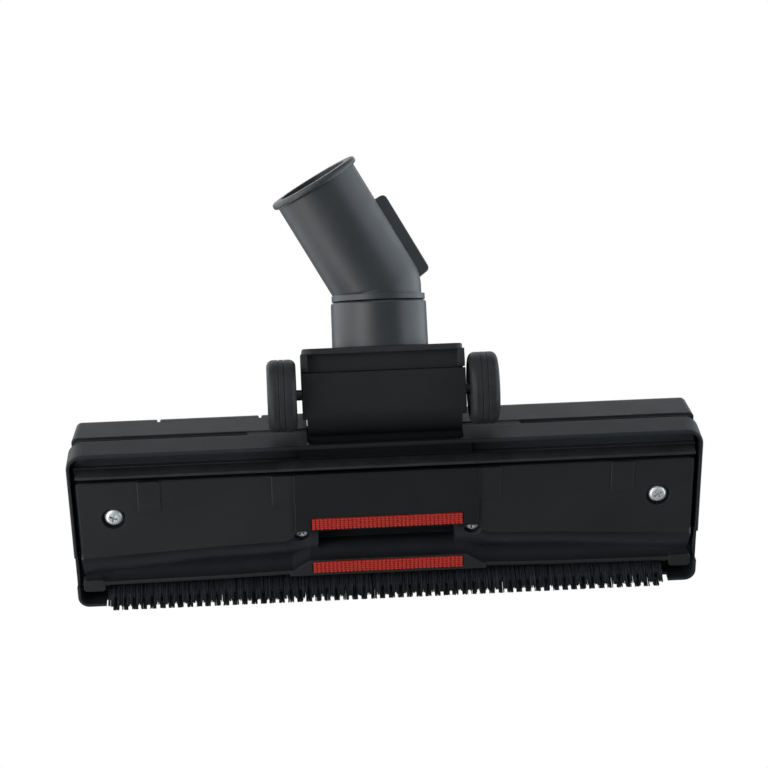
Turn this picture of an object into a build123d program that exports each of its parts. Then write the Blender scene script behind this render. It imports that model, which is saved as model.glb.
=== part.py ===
from build123d import *
from math import cos, sin, radians, sqrt
import os

os.makedirs("parts", exist_ok=True)

# ---------------------------------------------------------------- dimensions
# Millimetres. +Z up, floor at z = 0, +Y towards the front brush, +X to the
# right seen from behind. "y" values below count from the rear wall.
W = 301.0            # head width at the rim
D = 86.0             # head depth at the rim
z_rim = 4.0          # rim height above the floor
z_band = 17.3        # top of the lower band
z_upper = 20.9       # bottom of the upper band
z_back = 39.0        # height of the rear top edge
t_wall = 2.4         # cover wall
x_groove = 65.3      # the groove stops this far from the middle

z_sole = 4.5         # sole plate underside
x_sole = 147.0       # sole plate half width
y_trough = 15.5      # rear edge of the sole plate
t_sole = 2.2

y_tilt, z_tilt = 6.0, 25.0   # neck tilt axis
r_drum = 15.0                # drum at the neck's front end
x_drum = 36.3                # drum half width
x_open = 36.6                # half width of the cover's neck opening
r_trunnion = 4.0
neck_elev = 30.0             # neck elevation at rest

s_flange = 37.7              # along the neck axis from the tilt axis
s_collar = 40.4
s_seam = 62.2
s_ring = 62.5
s_tube = 65.2
s_bend = 69.0
bend = 30.5                  # elbow bend
roll = 15.2                  # elbow swivel at rest, below level
L_tube = 59.8                # bend to mouth
r_tube = 20.75
r_lip = 22.6
lip_len = 3.2
r_bead = 1.3
r_socket = 17.5              # socket for a 35 mm tube
L_socket = 40.0
r_bore = 15.5

r_wheel = 17.0
w_wheel = 13.7
x_wheel_l, x_wheel_r = -47.8, 46.8
y_axle, z_axle = -20.4, 17.0
r_axle = 2.5

x_ped0, x_ped1 = -108.0, -58.2   # pedal opening in the cover
ped_gap = 1.2
y_ped_end = 35.0
y_ped, z_ped = 5.5, 32.4         # pedal pivot
y_lev, z_lev = 38.0, 25.4        # lever pivot
x_lev = -83.0
w_lev = 6.0
r_pin = 1.5
lift = 4.9                       # brush travel

x_end_screw, y_end_screw = 130.0, 35.8
x_in_screw, y_in_screw = 41.2, 52.2

# ---------------------------------------------------------------- the frame
ce, se = cos(radians(neck_elev)), sin(radians(neck_elev))
axis_a = Vector(0, -ce, se)              # along the neck, away from the head
axis_n = Vector(0, se, ce)               # upper side of the neck
axis_b = Vector(-1, 0, 0) * cos(radians(roll)) - axis_n * sin(radians(roll))
dir_t = axis_a * cos(radians(bend)) + axis_b * sin(radians(bend))
dir_w = axis_a * sin(radians(bend)) - axis_b * cos(radians(bend))

bend_y = y_tilt - s_bend * ce
y_low = bend_y + (L_tube - r_bead) * dir_t.Y - (r_lip - r_bead) * sqrt(1 - dir_t.Y ** 2) - r_bead
yr = -(y_low + D) / 2                    # rear wall, so that the box is centred


def side(x):
    """Plane across X whose sketch axes are y (from the rear wall) and z."""
    return Plane(origin=(x, yr, 0), x_dir=(0, 1, 0), z_dir=(1, 0, 0))


def level(z):
    """Level plane whose sketch axes are x and y (from the rear wall)."""
    return Plane(origin=(0, yr, z))


def upright(y):
    """Upright plane whose sketch axes are x and z."""
    return Plane(origin=(0, yr + y, 0), x_dir=(1, 0, 0), z_dir=(0, -1, 0))


tilt_point = Vector(0, yr + y_tilt, z_tilt)


def neck_side(x):
    """Plane across X whose sketch axes run along and across the neck."""
    return Plane(origin=tilt_point + Vector(x, 0, 0), x_dir=axis_a, z_dir=(-1, 0, 0))


def neck_at(s):
    """Plane square to the neck axis; sketch axes are x and the upper side."""
    return Plane(origin=tilt_point + axis_a * s, x_dir=(1, 0, 0), z_dir=axis_a)


bend_point = tilt_point + axis_a * s_bend


def tube_at(t):
    """Plane square to the elbow's tube; x points to the outside of the bend."""
    return Plane(origin=bend_point + dir_t * t, x_dir=dir_w, z_dir=dir_t)


fin_plane = Plane(origin=bend_point, x_dir=dir_t, z_dir=dir_t.cross(dir_w))


# ---------------------------------------------------------------- top cover
# outer form of the upper band, used by the cover and by the pedal set in it
with BuildPart() as upper_form:
    with BuildSketch(side(-W / 2)):
        with BuildLine():
            Polyline((85.4, z_upper), (0.2, z_upper), (0.7, z_back - 4.2))
            ThreePointArc((0.7, z_back - 4.2), (1.86, z_back - 1.26), (4.8, z_back))
            Spline((4.8, z_back), (30, 39.8), (54, 39.0), (72, 35.8), (81.6, 30.2), (85.4, z_upper),
                   tangents=((1, 0.05), (0, -1)))
        make_face()
    extrude(amount=W)
    with BuildSketch(upright(-5)):
        Polygon((-148.4, z_upper), (148.4, z_upper), (146.4, 41.0), (-146.4, 41.0), align=None)
    extrude(amount=-(D + 10), mode=Mode.INTERSECT)
    ends = upper_form.faces().sort_by(Axis.X)
    ring = (ends[0].edges() + ends[-1].edges()).filter_by(
        lambda e: e.center().Z > z_upper + 0.5)
    fillet(ring, radius=2.8)

with BuildPart() as upper_core:
    with BuildSketch(side(-W / 2)):
        with BuildLine():
            Polyline((83.2, z_upper - 1), (2.6, z_upper - 1), (3.1, z_back - 4.6), (5.2, z_back - t_wall))
            Spline((5.2, z_back - t_wall), (30, 37.4), (54, 36.6), (71, 33.4), (79.4, 28.4), (83.2, z_upper - 1),
                   tangents=((1, 0.05), (0, -1)))
        make_face()
    extrude(amount=W)
    with BuildSketch(upright(-5)):
        Polygon((-145.8, z_upper - 1), (145.8, z_upper - 1), (143.6, 41.0), (-143.6, 41.0), align=None)
    extrude(amount=-(D + 10), mode=Mode.INTERSECT)

with BuildPart() as top_cover:
    # lower band
    with BuildSketch(level(z_rim)) as rim_outline:
        with Locations((0, D / 2)):
            Rectangle(W, D)
        fillet(rim_outline.vertices().group_by(Axis.Y)[0], radius=8)
        fillet(rim_outline.vertices().group_by(Axis.Y)[-1], radius=5.5)
    extrude(amount=z_band - z_rim, taper=1.5)
    fillet(top_cover.faces().sort_by(Axis.Z)[0].edges(), radius=0.7)
    # neck of the groove between the bands
    with BuildSketch(level(z_band)) as groove_outline:
        with Locations((0, 43.65)):
            Rectangle(W - 6.4, 83.9)
        fillet(groove_outline.vertices(), radius=4)
    extrude(amount=z_upper - z_band)
    # plain stretch of the rear wall either side of the neck
    with BuildSketch(level(z_band - 1)):
        with Locations((0, 2.2)):
            SlotOverall(2 * x_groove, 3.2)
    extrude(amount=z_upper - z_band + 2)
    add(upper_form.part)
    # hollow inside, open at the bottom
    with BuildSketch(level(z_rim - 1)) as core_outline:
        with Locations((0, D / 2)):
            Rectangle(W - 3.0, D - 3.4)
        fillet(core_outline.vertices().group_by(Axis.Y)[0], radius=6.5)
        fillet(core_outline.vertices().group_by(Axis.Y)[-1], radius=4)
    extrude(amount=z_band - z_rim - 0.4, mode=Mode.SUBTRACT)
    with BuildSketch(level(z_band - 2)) as core_outline2:
        with Locations((0, 43.6)):
            Rectangle(W - 9.6, 79.4)
        fillet(core_outline2.vertices(), radius=2.5)
    extrude(amount=z_upper - z_band + 2.5, mode=Mode.SUBTRACT)
    add(upper_core.part, mode=Mode.SUBTRACT)
    # cheeks and front wall round the neck opening
    with BuildSketch(side(-x_open - 2.4)):
        with BuildLine():
            Polyline((1.2, 10.2), (24.0, 10.2), (24.0, 38.4), (4.0, 37.8), (1.2, 33.6), close=True)
        make_face()
    extrude(amount=2 * x_open + 4.8)
    with BuildSketch(level(6.2)):
        with Locations((0, 11.1)):
            Rectangle(2 * x_open, 26.2)
    extrude(amount=40, mode=Mode.SUBTRACT)
    with BuildSketch(side(-x_open)):
        with BuildLine():
            Polyline((21.0, 26.0), (24.0, 26.0), (24.0, 38.6), (21.0, 38.6), close=True)
        make_face()
    extrude(amount=2 * x_open)
    with BuildSketch(side(-x_open)):
        with Locations((y_tilt, z_tilt)):
            Circle(r_drum + 0.6)
    extrude(amount=2 * x_open, mode=Mode.SUBTRACT)
    # trunnion seats
    with BuildSketch(side(-45)):
        with Locations((y_tilt, z_tilt)):
            Circle(r_trunnion + 0.06)
    extrude(amount=90, mode=Mode.SUBTRACT)
    # front wall is raised between its corners, so the brush shows
    with BuildSketch(level(0)):
        with Locations((0, D)):
            Rectangle(274, 12)
    extrude(amount=9.5, mode=Mode.SUBTRACT)
    # side inlets in the rim
    with BuildSketch(level(0)):
        with Locations((-W / 2, 66), (W / 2, 66)):
            Rectangle(14, 17.5)
    extrude(amount=8.0, mode=Mode.SUBTRACT)
    # pedal opening with a wall at each side and one in front
    with BuildSketch(level(22)):
        with Locations(((x_ped0 + x_ped1) / 2, 20.6)):
            Rectangle(x_ped1 - x_ped0 + 4.4, 34.4)
    extrude(amount=15.6)
    with BuildSketch(level(21)):
        with Locations(((x_ped0 + x_ped1) / 2, 19.2)):
            Rectangle(x_ped1 - x_ped0, 33.2)
    extrude(amount=30, mode=Mode.SUBTRACT)
    with BuildSketch(upright(-8)):
        Polygon((x_ped0, 33.6), (x_ped1, 33.6), (x_ped1, 35.6), (x_ped1 + 2.0, 38.2), (x_ped1 + 2.0, 43), (x_ped0 - 2.0, 43),
                (x_ped0 - 2.0, 38.2), (x_ped0, 35.6), align=None)
    extrude(amount=-43.8, mode=Mode.SUBTRACT)
    with BuildSketch(side(-120)):
        with Locations((y_ped, z_ped)):
            Circle(r_pin + 0.03)
    extrude(amount=63.9, mode=Mode.SUBTRACT)
    # two hangers for the lever pin
    with BuildSketch(side(x_lev - 6.2)):
        with BuildLine():
            Polyline((36.2, 38.4), (36.2, 29.5), (34.4, 28.0), (34.4, 24.6), (36.4, 21.8), (39.6, 21.8), (42.0, 24.6),
                     (44.0, 38.2), close=True)
        make_face()
    extrude(amount=2.4)
    with BuildSketch(side(x_lev + 3.8)):
        with BuildLine():
            Polyline((36.2, 38.4), (36.2, 29.5), (34.4, 28.0), (34.4, 24.6), (36.4, 21.8), (39.6, 21.8), (42.0, 24.6),
                     (44.0, 38.2), close=True)
        make_face()
    extrude(amount=2.4)
    with BuildSketch(side(x_lev - 8)):
        with Locations((y_lev, z_lev)):
            Circle(r_pin + 0.03)
    extrude(amount=16, mode=Mode.SUBTRACT)
    # the lever swings through the wall in front of the pedal
    with BuildSketch(level(20)):
        with Locations((x_lev, 36.8)):
            Rectangle(w_lev + 1.6, 6.0)
    extrude(amount=10.4, mode=Mode.SUBTRACT)
    # spring seats over the brush bar
    with BuildSketch(level(26.0)):
        with Locations((-112, 77.2), (112, 77.2)):
            Circle(2.4)
    extrude(amount=5.0)
    # screw bosses
    with BuildSketch(level(10.3)):
        with Locations((-x_end_screw, y_end_screw), (x_end_screw, y_end_screw)):
            Circle(4.2)
    extrude(amount=27.8)
    with BuildSketch(level(17.2)):
        with Locations((-x_in_screw, y_in_screw), (x_in_screw, y_in_screw)):
            Circle(4.0)
    extrude(amount=20.3)
    with BuildSketch(level(10)):
        with Locations((-x_end_screw, y_end_screw), (x_end_screw, y_end_screw)):
            Circle(1.78)
    extrude(amount=16, mode=Mode.SUBTRACT)
    with BuildSketch(level(16)):
        with Locations((-x_in_screw, y_in_screw), (x_in_screw, y_in_screw)):
            Circle(1.78)
    extrude(amount=15, mode=Mode.SUBTRACT)
top_cover.part.label = "top_cover"
export_step(top_cover.part, "parts/top_cover.step")


# ---------------------------------------------------------------- sole plate
def wing_points(y_slope, y_lip, zc):
    """Section of a wing: trough roof, plate, ramp of the channel, front lip."""
    return [(3.0, 9.6), (8.75, 9.6), (8.75, 7.2), (11.85, 7.2), (11.85, 9.6), (y_trough, 9.6),
            (y_trough, z_sole + 1.1), (y_trough + 0.32, z_sole + 0.32), (y_trough + 1.1, z_sole),
            (y_slope, z_sole), (y_lip, zc), (y_lip, z_sole + 0.4), (y_lip + 0.4, z_sole),
            (y_lip + 1.7, z_sole), (y_lip + 2.2, z_sole + 0.5),
            (y_lip + 2.2, zc + 2.2), (y_lip - 0.6, zc + 2.2), (y_slope - 0.8, z_sole + t_sole),
            (y_trough + t_sole, z_sole + t_sole), (y_trough + t_sole, 11.8), (3.0, 11.8)]


# bosses of the inner screws, cut off along the ramp
with BuildPart() as inner_bosses:
    with BuildSketch(level(z_sole)):
        with Locations((-x_in_screw, y_in_screw), (x_in_screw, y_in_screw)):
            Circle(5.7)
    extrude(amount=12.5)
    with BuildSketch(side(-60)):
        with BuildLine():
            Polyline((48.4, z_sole + 0.5), (64.0, 15.1), (64.0, 0.0), (40.0, 0.0), (40.0, z_sole + 0.5), close=True)
        make_face()
    extrude(amount=120, mode=Mode.SUBTRACT)

with BuildPart() as sole_plate:
    for sgn in (-1, 1):
        for x, ys, yl, zc in ((x_sole, 58.0, 72.0, 11.8), (82.0, 54.2, 71.2, 18.4),
                              (48.6, 53.0, 70.35, 18.55), (39.8, 47.6, 70.2, 18.6)):
            with BuildSketch(side(sgn * x)):
                with BuildLine():
                    Polyline(*wing_points(ys, yl, zc), close=True)
                make_face()
        loft(sections=None, ruled=True)
    # middle block behind the mouth, standing a little proud of the plate
    with BuildSketch(side(-44)):
        with BuildLine():
            Polyline((y_trough, 4.8), (y_trough + 0.3, 4.1), (y_trough + 1.0, 3.8), (47.3, 3.8), (47.3, 6.2),
                     (y_trough + t_sole, 6.2), (y_trough + t_sole, 9.2), (y_trough, 9.2), close=True)
        make_face()
    extrude(amount=88)
    # low trough roof under the drum, with the lip's rail
    with BuildSketch(side(-40.6)):
        with BuildLine():
            Polyline((3.0, 8.0), (8.75, 8.0), (8.75, 7.2), (11.85, 7.2), (11.85, 8.0), (y_trough + 0.4, 8.0),
                     (y_trough + 0.4, 9.2), (3.0, 9.2), close=True)
        make_face()
    extrude(amount=81.2)
    # front lip swells rearward under the front lint strip
    with BuildSketch(level(3.8)) as swell:
        with BuildLine():
            Polyline((-37.8, 64.4), (37.8, 64.4), (47.5, 71.2), (47.5, 73.0), (-47.5, 73.0), (-47.5, 71.2), close=True)
        make_face()
        fillet(swell.vertices().sort_by(Axis.Y)[:2], radius=3.5)
    extrude(amount=3.0)
    # air duct over the mouth, running back to the drum
    with BuildSketch(side(-35.4)):
        with BuildLine():
            Polyline((17.8, 6.0), (48.2, 6.0), (64.4, 16.2), (64.4, 5.0), (66.6, 5.0), (66.6, 26.4),
                     (24.6, 26.4), (24.6, 20.0), close=True)
        make_face()
    extrude(amount=70.8)
    with BuildSketch(side(-33.2)):
        with BuildLine():
            Polyline((10.0, 6.2), (47.3, 6.2), (47.3, 0.0), (64.4, 0.0), (64.4, 24.2), (10.0, 24.2), close=True)
        make_face()
    extrude(amount=66.4, mode=Mode.SUBTRACT)
    # room for the drum
    with BuildSketch(side(-36.8)):
        with Locations((y_tilt, z_tilt)):
            Circle(r_drum + 0.7)
    extrude(amount=73.6, mode=Mode.SUBTRACT)
    # the ramp and the front wall run on to the mouth at both sides
    for x0, x1 in ((-40.2, -33.2), (33.2, 40.2)):
        with BuildSketch(side(x0)):
            with BuildLine():
                Polyline((45.0, z_sole), (47.6, z_sole), (70.2, 18.6), (70.2, 20.8), (46.8, z_sole + t_sole),
                         (45.0, z_sole + t_sole), close=True)
            make_face()
        extrude(amount=x1 - x0)
    with BuildSketch(level(3.8)):
        for sgn in (-1, 1):
            with BuildLine():
                Polyline((sgn * 33.2, 64.4), (sgn * 37.4, 64.4), (sgn * 47.5, 71.2), (sgn * 47.5, 73.0),
                         (sgn * 46.6, 73.0), (sgn * 36.6, 66.6), (sgn * 33.2, 66.6), close=True)
            make_face()
    extrude(amount=17.0)
    # end tabs of the front lip
    with BuildSketch(level(4.3)) as tabs:
        for sgn in (-1, 1):
            with Locations((sgn * 142.0, 73.9)):
                RectangleRounded(10.4, 6.2, 1.6)
    extrude(amount=5.0)
    # low runners at the rear edge
    with BuildSketch(level(4.0)):
        for x in (-112.6, -49.2, 49.2, 112.6):
            with Locations((x, 24.2)):
                RectangleRounded(10.6, 16.6, 1.2)
    extrude(amount=1.0)
    # bosses and wells of the four screws
    with BuildSketch(level(z_sole)):
        with Locations((-x_end_screw, y_end_screw), (x_end_screw, y_end_screw)):
            Circle(7.9)
    extrude(amount=5.6)
    add(inner_bosses.part)
    with BuildSketch(level(0)):
        with Locations((-x_end_screw, y_end_screw), (x_end_screw, y_end_screw)):
            Circle(5.8)
    extrude(amount=7.5, mode=Mode.SUBTRACT)
    with BuildSketch(level(0)):
        with Locations((-x_in_screw, y_in_screw), (x_in_screw, y_in_screw)):
            Circle(4.3)
    extrude(amount=13.85, mode=Mode.SUBTRACT)
    with BuildSketch(level(0)):
        with Locations((-x_end_screw, y_end_screw), (x_end_screw, y_end_screw),
                       (-x_in_screw, y_in_screw), (x_in_screw, y_in_screw)):
            Circle(1.9)
    extrude(amount=18, mode=Mode.SUBTRACT)
    # shallow seats for the lint strips
    with BuildSketch(level(3.0)):
        with Locations((0, 43.5), (0, 68.3)):
            RectangleRounded(73.2, 6.8, 1.3)
    extrude(amount=1.5, mode=Mode.SUBTRACT)
    # slot for the rear rubber lip
    with BuildSketch(level(4.0)):
        with Locations((0, 10.3)):
            Rectangle(293.0, 1.5)
    extrude(amount=4.4, mode=Mode.SUBTRACT)
    # rounded rear corners of the plate
    with BuildSketch(level(3.0)):
        for sgn in (-1, 1):
            with Locations((sgn * (x_sole - 1.2), y_trough + 1.2)):
                Rectangle(2.6, 2.6)
            with Locations((sgn * (x_sole - 2.5), y_trough + 2.5)):
                Circle(2.5, mode=Mode.SUBTRACT)
    extrude(amount=10.9, mode=Mode.SUBTRACT)
    # softened side edges of the plate
    with BuildSketch(upright(y_trough - 0.5)):
        for sgn in (-1, 1):
            Polygon((sgn * 147.2, 4.2), (sgn * 147.2, 5.7), (sgn * 146.6, 4.9), (sgn * 145.7, 4.2), align=None)
    extrude(amount=-52.0, mode=Mode.SUBTRACT)
    # rounded rear corners of the trough roof
    with BuildSketch(level(9.0)):
        for sgn in (-1, 1):
            with Locations((sgn * (x_sole - 3.0), 5.9)):
                Rectangle(6.4, 6.2)
            with Locations((sgn * (x_sole - 6.0), 9.0)):
                Circle(6.0, mode=Mode.SUBTRACT)
    extrude(amount=4.0, mode=Mode.SUBTRACT)
sole_plate.part.label = "sole_plate"
export_step(sole_plate.part, "parts/sole_plate.step")

# ---------------------------------------------------------------- soft strips
with BuildPart() as rear_rubber_lip:
    with BuildSketch(level(0)):
        with Locations((0, 10.3)):
            Rectangle(292.4, 1.4)
    extrude(amount=8.3)
    fillet(rear_rubber_lip.edges().filter_by(Axis.X).group_by(Axis.Z)[0], radius=0.35)
rear_rubber_lip.part.label = "rear_rubber_lip"
export_step(rear_rubber_lip.part, "parts/rear_rubber_lip.step")

with BuildPart() as lint_strip_rear:
    with BuildSketch(level(3.2)):
        with Locations((0, 43.5)):
            RectangleRounded(72.8, 6.5, 1.2)
    extrude(amount=1.3)
lint_strip_rear.part.label = "lint_strip_rear"
export_step(lint_strip_rear.part, "parts/lint_strip_rear.step")

with BuildPart() as lint_strip_front:
    with BuildSketch(level(3.2)):
        with Locations((0, 68.3)):
            RectangleRounded(72.8, 6.5, 1.2)
    extrude(amount=1.3)
lint_strip_front.part.label = "lint_strip_front"
export_step(lint_strip_front.part, "parts/lint_strip_front.step")

# ---------------------------------------------------------------- screws
with BuildPart() as end_screws:
    for sgn in (-1, 1):
        with BuildSketch(Plane(origin=(sgn * x_end_screw, yr + y_end_screw, 0), x_dir=(1, 0, 0), z_dir=(0, -1, 0))):
            with BuildLine():
                Polyline((0, 4.75), (2.2, 4.75))
                ThreePointArc((2.2, 4.75), (3.9, 5.35), (4.55, 6.5))
                Polyline((4.55, 6.5), (4.55, 7.5), (1.75, 7.5), (1.75, 23.0), (0.6, 25.0), (0, 25.0), (0, 4.75))
            make_face()
        revolve(axis=Axis((sgn * x_end_screw, yr + y_end_screw, 0), (0, 0, 1)))
    with BuildSketch(level(4.0)):
        for sgn, turn in ((-1, 22), (1, 55)):
            with Locations(Location((sgn * x_end_screw, y_end_screw), turn)):
                Rectangle(4.3, 1.0)
                Rectangle(1.0, 4.3)
    extrude(amount=2.4, mode=Mode.SUBTRACT)
end_screws.part.label = "end_screws"
export_step(end_screws.part, "parts/end_screws.step")

with BuildPart() as inner_screws:
    for sgn in (-1, 1):
        with BuildSketch(Plane(origin=(sgn * x_in_screw, yr + y_in_screw, 0), x_dir=(1, 0, 0), z_dir=(0, -1, 0))):
            with BuildLine():
                Polyline((0, 11.1), (1.9, 11.1))
                ThreePointArc((1.9, 11.1), (3.5, 11.7), (4.1, 12.85))
                Polyline((4.1, 12.85), (4.1, 13.85), (1.75, 13.85), (1.75, 28.0), (0.6, 30.0), (0, 30.0), (0, 11.1))
            make_face()
        revolve(axis=Axis((sgn * x_in_screw, yr + y_in_screw, 0), (0, 0, 1)))
    with BuildSketch(level(10.3)):
        for sgn, turn in ((-1, 40), (1, 10)):
            with Locations(Location((sgn * x_in_screw, y_in_screw), turn)):
                Rectangle(4.3, 1.0)
                Rectangle(1.0, 4.3)
    extrude(amount=2.5, mode=Mode.SUBTRACT)
inner_screws.part.label = "inner_screws"
export_step(inner_screws.part, "parts/inner_screws.step")

# ---------------------------------------------------------------- front brush
with BuildPart() as brush_bar:
    with BuildSketch(level(15.2)):
        with Locations((0, 78.7)):
            RectangleRounded(276.0, 6.4, 1.0)
    extrude(amount=2.6)
    # block with a pocket for the lever's toe
    with BuildSketch(level(15.2)):
        with Locations((x_lev, 77.6)):
            Rectangle(w_lev + 6.0, 4.2)
    extrude(amount=5.2)
    with BuildSketch(level(15.9)):
        with Locations((x_lev, 76.4)):
            Rectangle(w_lev + 1.4, 5.4)
    extrude(amount=2.7, mode=Mode.SUBTRACT)
    with BuildSketch(level(15.0)):
        with Locations((x_lev, 75.7)):
            Rectangle(w_lev + 1.4, 4.0)
    extrude(amount=7.0, mode=Mode.SUBTRACT)
brush_bar.part.label = "brush_bar"
export_step(brush_bar.part, "parts/brush_bar.step")

with BuildPart() as front_bristles:
    with BuildSketch(side(-136.0)):
        with BuildLine():
            Polyline((76.2, 15.2), (81.6, 15.2), (83.2, 4.7), (85.6, 0), (80.4, 0), (78.0, 4.7), close=True)
        make_face()
    extrude(amount=272.0)
front_bristles.part.label = "front_bristles"
export_step(front_bristles.part, "parts/front_bristles.step")

# ---------------------------------------------------------------- pedal and lever
with BuildPart() as foot_pedal:
    add(upper_form.part)
    with BuildSketch(level(33.9)):
        with Locations(((x_ped0 + x_ped1) / 2, (y_ped_end - ped_gap - 1) / 2)):
            Rectangle(x_ped1 - x_ped0 - 2 * ped_gap, y_ped_end - ped_gap + 1)
    extrude(amount=8, mode=Mode.INTERSECT)
    add(upper_core.part, mode=Mode.SUBTRACT)
    # pivot ears
    for x in (x_ped0 + 3.0, x_ped1 - 6.0):
        with BuildSketch(side(x)):
            with BuildLine():
                Polyline((3.4, 36.8), (3.0, 32.4), (4.0, 30.2), (7.0, 30.2), (8.4, 31.4), (14.0, 38.0), (6.0, 38.0), close=True)
            make_face()
        extrude(amount=3.0)
    # finger that bears on the lever
    with BuildSketch(side(x_lev - w_lev / 2)):
        with BuildLine():
            Polyline((18.0, 38.4), (18.6, 27.9), (21.4, 27.9), (24.0, 38.4), close=True)
        make_face()
    extrude(amount=w_lev)
    # stiffening rib along the pedal
    with BuildSketch(side(x_lev - 14)):
        with BuildLine():
            Polyline((6.5, 38.0), (10.0, 35.2), (28.0, 35.2), (32.0, 38.0), close=True)
        make_face()
    extrude(amount=1.8)
    with BuildSketch(side(x_lev + 12.2)):
        with BuildLine():
            Polyline((6.5, 38.0), (10.0, 35.2), (28.0, 35.2), (32.0, 38.0), close=True)
        make_face()
    extrude(amount=1.8)
    with BuildSketch(side(x_ped0 - 1)):
        with Locations((y_ped, z_ped)):
            Circle(r_pin + 0.05)
    extrude(amount=50, mode=Mode.SUBTRACT)
    fillet(foot_pedal.edges().filter_by(lambda e: e.center().Z > 35.2 and (
        abs(e.center().X - x_ped0 - ped_gap) < 0.05 or abs(e.center().X - x_ped1 + ped_gap) < 0.05)
        and e.length > 8), radius=0.8)
foot_pedal.part.label = "foot_pedal"
export_step(foot_pedal.part, "parts/foot_pedal.step")

with BuildPart() as pedal_pin:
    with BuildSketch(side(x_ped0 - 2.0)):
        with Locations((y_ped, z_ped)):
            Circle(r_pin)
    extrude(amount=x_ped1 - x_ped0 + 4.0)
pedal_pin.part.label = "pedal_pin"
export_step(pedal_pin.part, "parts/pedal_pin.step")

with BuildPart() as lift_lever:
    with BuildSketch(side(x_lev - w_lev / 2)):
        with BuildLine():
            Polyline((17.0, 24.2), (19.0, 23.8), (34.5, 23.2), (38.0, 22.2), (41.5, 23.0), (60.0, 22.4), (74.1, 21.6), (74.1, 16.3),
                     (77.7, 16.3), (77.7, 17.9), (76.6, 17.9), (76.6, 23.6), (75.2, 24.8), (60.0, 25.9), (42.0, 28.0),
                     (38.0, 28.6), (34.5, 27.8), (30.0, 27.2), (17.0, 27.2), close=True)
        make_face()
    extrude(amount=w_lev)
    with BuildSketch(side(x_lev - w_lev)):
        with Locations((y_lev, z_lev)):
            Circle(r_pin + 0.05)
    extrude(amount=2 * w_lev, mode=Mode.SUBTRACT)
lift_lever.part.label = "lift_lever"
export_step(lift_lever.part, "parts/lift_lever.step")

with BuildPart() as lever_pin:
    with BuildSketch(side(x_lev - 6.0)):
        with Locations((y_lev, z_lev)):
            Circle(r_pin)
    extrude(amount=12.0)
lever_pin.part.label = "lever_pin"
export_step(lever_pin.part, "parts/lever_pin.step")

# ---------------------------------------------------------------- return springs
z_spr0, z_spr1, r_coil, r_wire = 17.8, 26.0, 1.9, 0.3
with BuildPart() as return_spring_left:
    with BuildLine() as coil_left:
        Helix(pitch=1.7, height=z_spr1 - z_spr0 - 2 * r_wire - 0.1, radius=r_coil,
              center=(-112, yr + 77.2, z_spr0 + r_wire + 0.05))
    with BuildSketch(Plane(origin=coil_left.line @ 0, z_dir=coil_left.line % 0)):
        Circle(r_wire)
    sweep(path=coil_left.line, is_frenet=True)
return_spring_left.part.label = "return_spring_left"
export_step(return_spring_left.part, "parts/return_spring_left.step")

with BuildPart() as return_spring_right:
    with BuildLine() as coil_right:
        Helix(pitch=1.7, height=z_spr1 - z_spr0 - 2 * r_wire - 0.1, radius=r_coil,
              center=(112, yr + 77.2, z_spr0 + r_wire + 0.05))
    with BuildSketch(Plane(origin=coil_right.line @ 0, z_dir=coil_right.line % 0)):
        Circle(r_wire)
    sweep(path=coil_right.line, is_frenet=True)
return_spring_right.part.label = "return_spring_right"
export_step(return_spring_right.part, "parts/return_spring_right.step")

# ---------------------------------------------------------------- neck
s_axle = (yr + y_axle - tilt_point.Y) * (-ce) + (z_axle - z_tilt) * se
n_axle = (yr + y_axle - tilt_point.Y) * se + (z_axle - z_tilt) * ce

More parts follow.
